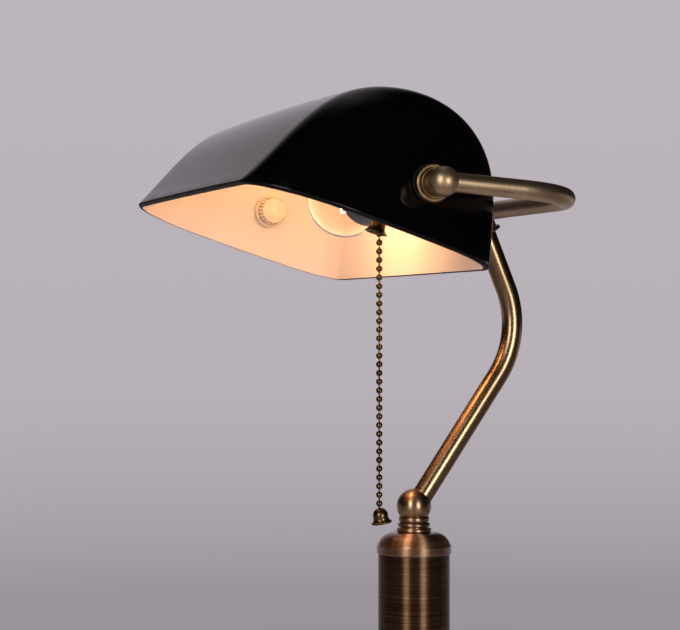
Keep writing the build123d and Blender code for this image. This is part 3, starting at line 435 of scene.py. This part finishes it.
black_glass = new_finish("black_cased_glass")
place = add_node(black_glass, "TexCoord", {}).outputs["Object"]
pull = add_node(black_glass, "TexNoise", {"Vector": place, "Scale": 1 / MOULD_PULL, "Detail": 1.0})
wave = add_node(
    black_glass, "Bump", {"Height": pull.outputs["Fac"], "Strength": 0.3, "Distance": PULL_HEIGHT}
)
smear = add_node(
    black_glass, "MapRange", {"Value": pull.outputs["Fac"], "To Min": 0.05, "To Max": 0.09}
)
glass_shader = add_node(
    black_glass,
    "BsdfPrincipled",
    {
        "Base Color": linear(GLASS_BLACK),
        "Roughness": smear.outputs["Result"],
        "IOR": 1.5,
        "Specular IOR Level": 0.35,
        "Normal": wave.outputs["Normal"],
    },
)
add_node(black_glass, "OutputMaterial", {"Surface": glass_shader.outputs["BSDF"]})

opal_glass = new_finish("white_opal_glass")
_, milk_tone = two_tone(opal_glass, OPAL_CLOUD, OPAL_CREAM, OPAL_WHITE, detail=2.0)
opal_shader = add_node(
    opal_glass,
    "BsdfPrincipled",
    {"Base Color": milk_tone, "Roughness": 0.06, "Specular IOR Level": OPAL_GLOSS},
)
add_node(opal_glass, "OutputMaterial", {"Surface": opal_shader.outputs["BSDF"]})

ground_rim = new_finish("ground_rim_glass")
place = add_node(ground_rim, "TexCoord", {}).outputs["Object"]
grit = add_node(ground_rim, "TexNoise", {"Vector": place, "Scale": 1 / RIM_GRIT, "Detail": 3.0})
frost = add_node(ground_rim, "MapRange", {"Value": grit.outputs["Fac"], "To Min": 0.35, "To Max": 0.6})
rim_shader = add_node(
    ground_rim,
    "BsdfPrincipled",
    {
        "Base Color": linear(RIM_BLACK),
        "Roughness": frost.outputs["Result"],
        "IOR": 1.52,
        "Specular IOR Level": 0.15,
    },
)
add_node(ground_rim, "OutputMaterial", {"Surface": rim_shader.outputs["BSDF"]})

stud_low, stud_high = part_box("pivot_stud")
pivot = (stud_low + stud_high) / 2
mouth_down = Vector((0.0, -sin(SHADE_TILT), -cos(SHADE_TILT)))


def welded_copy(name, node, *finishes):
    """A copy of a CAD node with its loose triangles welded, so that the light runs smoothly over it."""
    bpy.ops.object.select_all(action="DESELECT")
    piece = bpy.data.objects.new(name, nodes[node].data.copy())
    bpy.context.scene.collection.objects.link(piece)
    bpy.context.view_layer.objects.active = piece
    piece.select_set(True)
    bpy.ops.mesh.customdata_custom_splitnormals_clear()
    bpy.ops.object.mode_set(mode="EDIT")
    bpy.ops.mesh.select_all(action="SELECT")
    bpy.ops.mesh.remove_doubles(threshold=WELD)
    bpy.ops.object.mode_set(mode="OBJECT")
    bpy.ops.object.shade_smooth_by_angle(angle=SMOOTH_BELOW)
    piece.data.materials.clear()
    for finish in finishes:
        piece.data.materials.append(finish)
    return piece


shade = welded_copy("cased_shade", "glass_shade", black_glass, opal_glass, ground_rim)
rim_level = max(corner.co.dot(mouth_down) for corner in shade.data.vertices) - RIM_DEPTH
for face in shade.data.polygons:
    hollow = Vector((max(-HOLLOW_HALF, min(HOLLOW_HALF, face.center.x)), pivot.y, pivot.z))
    inside = face.normal.dot(hollow - face.center) > 0
    face.material_index = INSIDE if inside else OUTSIDE
    faces_down = face.normal.dot(mouth_down) > (FLAT_RIM if inside else ROUND_RIM)
    if faces_down and face.center.dot(mouth_down) > rim_level:
        face.material_index = RIM
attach(shade, "shade")
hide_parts("glass_shade")

# Pivots: at each end a turned flange and a rubber gasket press on the glass from outside.
# A hollow nipple carries the lampholder at one end, and a stud takes the thumb nut at the other.
dress(ring_brass, "pivot_flange_right", "pivot_flange_left")
dress(black_rubber, "outer_gasket_right", "outer_gasket_left")

# Thumb nut: moulded ivory plastic with a fluted edge, screwed on the stud inside the far end.
# A waxy, slightly see-through resin with a soft gloss.
IVORY_LIGHT = "#FBF4E2"
IVORY_SHADE = "#F1E5CB"
RESIN_CLOUD = 3 * MM
LIGHT_SINKS = (4 * MM, 2.6 * MM, 1.4 * MM)

ivory = new_finish("moulded_ivory_resin")
_, resin_tone = two_tone(ivory, RESIN_CLOUD, IVORY_SHADE, IVORY_LIGHT, detail=2.0)
ivory_shader = add_node(
    ivory,
    "BsdfPrincipled",
    {
        "Base Color": resin_tone,
        "Roughness": 0.35,
        "IOR": 1.49,
        "Subsurface Weight": 0.2,
        "Subsurface Radius": LIGHT_SINKS,
        "Subsurface Scale": 1.0,
    },
)
add_node(ivory, "OutputMaterial", {"Surface": ivory_shader.outputs["BSDF"]})
dress(ivory, "thumb_nut")

# Inner rings: soft moulded rings of the same ivory, one behind the nut and one at the lampholder.
# Each lies between the opal glass and what is screwed up against it, and hardly shows on the white.
for end in ("right", "left"):
    inner_ring = welded_copy(f"ivory_ring_{end}", f"inner_gasket_{end}", ivory)
    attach(inner_ring, "shade")
    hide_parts(f"inner_gasket_{end}")

# Lampholder: a moulded black phenolic cap, body and nose, with insulating blocks inside.
# Pressed from powder, so it has a fine mottle and a low gloss.
PHENOLIC_BLACK = "#17130F"
PHENOLIC_BROWN = "#2A211A"
POWDER_GRAIN = 0.6 * MM

phenolic = new_finish("black_phenolic")
_, powder_tone = two_tone(phenolic, POWDER_GRAIN, PHENOLIC_BLACK, PHENOLIC_BROWN, detail=4.0)
phenolic_shader = add_node(
    phenolic, "BsdfPrincipled", {"Base Color": powder_tone, "Roughness": 0.32, "IOR": 1.6}
)
add_node(phenolic, "OutputMaterial", {"Surface": phenolic_shader.outputs["BSDF"]})
dress(phenolic, "holder_cap", "holder_body", "nose_sleeve", "contact_block", "switch_block", "bulb_insulator")

# Contacts: the screw shell, the centre contact and the tip of the bulb, in bright stamped brass.
# Drawn sheet, hardly aged, so it is yellower and brighter than the brass outside.
CONTACT_LIGHT = "#D9BE80"
CONTACT_DARK = "#A98B52"

contact_brass = aged_brass("stamped_contact_brass", EVEN, light=CONTACT_LIGHT, dark=CONTACT_DARK)
dress(contact_brass, "screw_shell", "centre_contact", "bulb_contact")

# Bulb: a clear blown globe on a tinned screw cap, with a glass stem and a glowing filament.
# The glass is too thin to bend the light much, so its IOR is low, and it casts no shadow.
# The glow is one soft warm light in the globe; the filament is what the eye sees of it.
GLASS_CLEAR = "#FFFDFA"
TIN_LIGHT = "#C9C7C1"
TIN_DARK = "#A5A29B"
GLOW = "#FFB870"
WHITE_HOT = "#FFE3B5"
TUNGSTEN = "#5A5048"
HEAT_SPOT = 3 * MM
GLOW_STRENGTH = 14.0
GLASS_SEED = 3 * MM
SEED_HEIGHT = 0.1 * MM
BULB_LIGHT = "#FFB781"
BULB_WATTS = 0.214
BULB_SOFTNESS = 20 * MM
GLOW_BEHIND_TIP = 0.5

clear_glass = new_finish("clear_blown_glass")
place = add_node(clear_glass, "TexCoord", {}).outputs["Object"]
seed = add_node(clear_glass, "TexNoise", {"Vector": place, "Scale": 1 / GLASS_SEED, "Detail": 1.0})
ripple = add_node(
    clear_glass, "Bump", {"Height": seed.outputs["Fac"], "Strength": 0.1, "Distance": SEED_HEIGHT}
)
clear_shader = add_node(
    clear_glass,
    "BsdfPrincipled",
    {
        "Base Color": linear(GLASS_CLEAR),
        "Roughness": 0.0,
        "IOR": 1.08,
        "Transmission Weight": 1.0,
        "Normal": ripple.outputs["Normal"],
    },
)
add_node(clear_glass, "OutputMaterial", {"Surface": clear_shader.outputs["BSDF"]})
dress(clear_glass, "bulb_glass", "bulb_stem")
for thin_glass in (nodes["bulb_glass"], nodes["bulb_stem"]):
    thin_glass.visible_shadow = False
    thin_glass.visible_glossy = False

tinned_cap = aged_brass("tinned_cap_metal", EVEN, light=TIN_LIGHT, dark=TIN_DARK, roughness=0.3)
dress(tinned_cap, "bulb_cap")

hot_wire = new_finish("glowing_filament")
_, glow_tone = two_tone(hot_wire, HEAT_SPOT, GLOW, WHITE_HOT, detail=2.0)
wire_shader = add_node(
    hot_wire,
    "BsdfPrincipled",
    {
        "Base Color": linear(TUNGSTEN),
        "Metallic": 1.0,
        "Roughness": 0.5,
        "Emission Color": glow_tone,
        "Emission Strength": GLOW_STRENGTH,
    },
)
add_node(hot_wire, "OutputMaterial", {"Surface": wire_shader.outputs["BSDF"]})
dress(hot_wire, "filament")
nodes["filament"].visible_shadow = False
nodes["filament"].visible_glossy = False

globe_low, globe_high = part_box("bulb_glass")
globe_radius = (globe_high.z - globe_low.z) / 2
glow_light = bpy.data.lights.new("bulb_glow", "POINT")
glow_light.energy = BULB_WATTS
glow_light.color = linear(BULB_LIGHT)[:3]
glow_light.shadow_soft_size = BULB_SOFTNESS
glow = bpy.data.objects.new("bulb_glow", glow_light)
bpy.context.scene.collection.objects.link(glow)
glow.location = (globe_low.x + GLOW_BEHIND_TIP * globe_radius, pivot.y, pivot.z)
glow.visible_camera = False
glow.visible_transmission = False
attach(glow, "shade")

# Pull chain: a flared outlet on the lampholder, a link to the switch, round beads and a bell.
# Stamped brass, darkened all over and only a little rubbed.
CHAIN_LIGHT = "#8A6D46"
CHAIN_DARK = "#3E2D1C"

chain_brass = aged_brass("dark_chain_brass", EVEN, light=CHAIN_LIGHT, dark=CHAIN_DARK, roughness=0.28)
dress(chain_brass, "chain_outlet", "pull_link", "chain_lead", "pull_chain", "bell_pull")

# Studio: a pale paper sweep under and behind the lamp, and a dim room on the camera's side.
# The floor keeps the lamp's shadow, and further off it takes the even tone of the paper.
# Near the lamp the paper's glow is painted darker, a painted shade, and in reflections
# the floor round the lamp glows, a painted pool of light.
PAPER_HIGH = "#BDB6BD"
PAPER = "#B8B1B8"
# Painted shade: the paper's glow turns to this darker tone within a metre of the lamp.
PAPER_PAINTED_SHADE = "#9B959B"
ROOM = "#171516"
FLOOR_RADIUS = 9.0
FLOOR_SIDES = 96
SHADOW_START = 0.3
SHADOW_END = 0.8
OWN_LIGHT = 0.5
# Painted pool of light: in reflections the floor glows with the paper's tone out to these radii from the
# lamp.
PAINTED_POOL_START = 0.25
PAINTED_POOL_END = 0.36
PAPER_DIRECTION = (-0.925, 0.380, 0.0)
PAPER_TOP = 0.16
SWEEP_LEAN = 0.4
SWEEP_LEFT = (-0.4, 0.3)
SWEEP_RIGHT = (0.8, 0.35)
SWEEP_FRONT = (0.45, -0.3)

paper_floor = new_finish("paper_sweep")
place = add_node(paper_floor, "TexCoord", {}).outputs["Object"]
reach = add_node(paper_floor, "VectorMath", {0: place}, operation="LENGTH")
far = add_node(
    paper_floor,
    "MapRange",
    {"Value": reach.outputs["Value"], "From Min": SHADOW_START, "From Max": SHADOW_END, "To Min": OWN_LIGHT},
    interpolation_type="SMOOTHSTEP",
)
closeness = add_node(paper_floor, "Math", {0: 1.0, 1: reach.outputs["Value"]}, operation="DIVIDE")
# Painted shade: the share of the darker tone, full within a metre of the lamp and fading out by the floor's
# edge.
painted_shade_share = add_node(
    paper_floor,
    "MapRange",
    {"Value": closeness.outputs["Value"], "From Min": 1 / FLOOR_RADIUS, "From Max": 1.0},
)
paper_and_painted_shade = add_node(
    paper_floor,
    "Mix",
    {SHARE: painted_shade_share.outputs["Result"], FIRST_TONE: linear(PAPER), SECOND_TONE: linear(PAPER_PAINTED_SHADE)},
    data_type="RGBA",
)
along_view = add_node(paper_floor, "VectorMath", {0: place, 1: PAPER_DIRECTION}, operation="DOT_PRODUCT")
past_lamp = add_node(
    paper_floor,
    "MapRange",
    {"Value": along_view.outputs["Value"], "From Min": 0.0, "From Max": SHADOW_END},
    interpolation_type="SMOOTHSTEP",
)
rays = add_node(paper_floor, "LightPath", {})
# Painted pool of light: reflections see the floor round the lamp glowing, as if lit by the lamp.
painted_pool = add_node(
    paper_floor,
    "MapRange",
    {"Value": reach.outputs["Value"], "From Min": PAINTED_POOL_END, "From Max": PAINTED_POOL_START},
    interpolation_type="SMOOTHSTEP",
)
# Reflections see the paper glow past the lamp, which is the backdrop, and round the lamp, which is the
# painted pool of light.
backdrop_and_painted_pool = add_node(
    paper_floor, "Math", {0: past_lamp.outputs["Result"], 1: painted_pool.outputs["Result"]}, operation="MAXIMUM"
)
bounced = add_node(
    paper_floor,
    "Math",
    {0: rays.outputs["Is Glossy Ray"], 1: rays.outputs["Is Transmission Ray"]},
    operation="MAXIMUM",
)
mirrored = add_node(
    paper_floor, "Math", {0: bounced.outputs["Value"], 1: backdrop_and_painted_pool.outputs["Value"]}, operation="MULTIPLY"
)
direct = add_node(
    paper_floor, "Math", {0: rays.outputs["Is Camera Ray"], 1: far.outputs["Result"]}, operation="MULTIPLY"
)
even = add_node(
    paper_floor, "Math", {0: direct.outputs["Value"], 1: mirrored.outputs["Value"]}, operation="MAXIMUM"
)
matt = add_node(paper_floor, "BsdfDiffuse", {"Color": linear(PAPER_HIGH)})
flat = add_node(paper_floor, "Emission", {"Color": paper_and_painted_shade.outputs[MIXED_TONE], "Strength": 1.0})
sweep = add_node(
    paper_floor,
    "MixShader",
    {0: even.outputs["Value"], 1: matt.outputs["BSDF"], 2: flat.outputs["Emission"]},
)
add_node(paper_floor, "OutputMaterial", {"Surface": sweep.outputs["Shader"]})
bpy.ops.object.select_all(action="DESELECT")
bpy.ops.mesh.primitive_circle_add(vertices=FLOOR_SIDES, radius=FLOOR_RADIUS, fill_type="NGON")
floor = bpy.context.object
floor.name = "paper_floor"
floor.data.materials.append(paper_floor)

world = bpy.data.worlds.new("studio")
bpy.context.scene.world = world
world.use_nodes = True
world.node_tree.nodes.clear()
ray_direction = add_node(world, "TexCoord", {}).outputs["Generated"]
axes = add_node(world, "SeparateXYZ", {"Vector": ray_direction})
ahead, side, level = axes.outputs["X"], axes.outputs["Y"], axes.outputs["Z"]
rise = add_node(world, "MapRange", {"Value": level, "From Min": 0.0, "From Max": PAPER_TOP})
paper = add_node(
    world,
    "Mix",
    {SHARE: rise.outputs["Result"], FIRST_TONE: linear(PAPER), SECOND_TONE: linear(PAPER_HIGH)},
    data_type="RGBA",
)
lean = add_node(world, "Math", {0: level, 1: SWEEP_LEAN, 2: side}, operation="MULTIPLY_ADD")
left_end = add_node(
    world,
    "MapRange",
    {"Value": side, "From Min": SWEEP_LEFT[0], "From Max": SWEEP_LEFT[1]},
    interpolation_type="SMOOTHSTEP",
)
right_end = add_node(
    world,
    "MapRange",
    {"Value": lean.outputs["Value"], "From Min": SWEEP_RIGHT[0], "From Max": SWEEP_RIGHT[1]},
    interpolation_type="SMOOTHSTEP",
)
front_end = add_node(
    world,
    "MapRange",
    {"Value": ahead, "From Min": SWEEP_FRONT[0], "From Max": SWEEP_FRONT[1]},
    interpolation_type="SMOOTHSTEP",
)
width = add_node(
    world, "Math", {0: left_end.outputs["Result"], 1: right_end.outputs["Result"]}, operation="MULTIPLY"
)
backdrop = add_node(
    world, "Math", {0: width.outputs["Value"], 1: front_end.outputs["Result"]}, operation="MULTIPLY"
)
rays = add_node(world, "LightPath", {})
through = add_node(
    world,
    "Math",
    {0: rays.outputs["Is Transmission Ray"], 1: rays.outputs["Is Camera Ray"]},
    operation="MAXIMUM",
)
paper_side = add_node(
    world, "Math", {0: backdrop.outputs["Value"], 1: through.outputs["Value"]}, operation="MAXIMUM"
)
sky_tone = add_node(
    world,
    "Mix",
    {
        SHARE: paper_side.outputs["Value"],
        FIRST_TONE: linear(ROOM),
        SECOND_TONE: paper.outputs[MIXED_TONE],
    },
    data_type="RGBA",
)
sky = add_node(world, "Background", {"Color": sky_tone.outputs[MIXED_TONE], "Strength": 1.0})
add_node(world, "OutputWorld", {"Surface": sky.outputs["Background"]})

# Lights: two softboxes, a tall one on the camera's left and a low one on its right.
# They draw the two long lines of light on the tubes and stay out of the black glass.
LAMP_CENTRE = Vector((0.0, 0.0, 0.24))
SOFTBOX_WIDTH = 0.40
SOFTBOXES = {
    "softbox_left": ((0.92, -1.06, 0.62), 0.96, 7.0),
    "softbox_right": ((1.39, 0.14, 0.36), 0.44, 5.4),
}
for name, (spot, tall, watts) in SOFTBOXES.items():
    panel = bpy.data.lights.new(name, "AREA")
    panel.shape = "RECTANGLE"
    panel.size = SOFTBOX_WIDTH
    panel.size_y = tall
    panel.energy = watts
    softbox = bpy.data.objects.new(name, panel)
    bpy.context.scene.collection.objects.link(softbox)
    softbox.location = spot
    softbox.rotation_euler = (LAMP_CENTRE - softbox.location).to_track_quat("-Z", "Y").to_euler()
    softbox.visible_camera = False

# Camera: level with the shade's mouth and turned about 68 degrees round to the lampholder end.
# A long lens from about a metre away, as for a picture of goods, with no shift.
CAMERA_PLACE = (0.8791, -0.4022, 0.2686)
CAMERA_TURN = (radians(90.5), 0.0, radians(67.7))
LENS = 98.0
SENSOR = 36.0
camera_data = bpy.data.cameras.new("camera")
camera_data.lens = LENS
camera_data.sensor_width = SENSOR
camera = bpy.data.objects.new("camera", camera_data)
bpy.context.scene.collection.objects.link(camera)
camera.location = CAMERA_PLACE
camera.rotation_euler = CAMERA_TURN
bpy.context.scene.camera = camera
bpy.context.scene.view_settings.view_transform = "Standard"
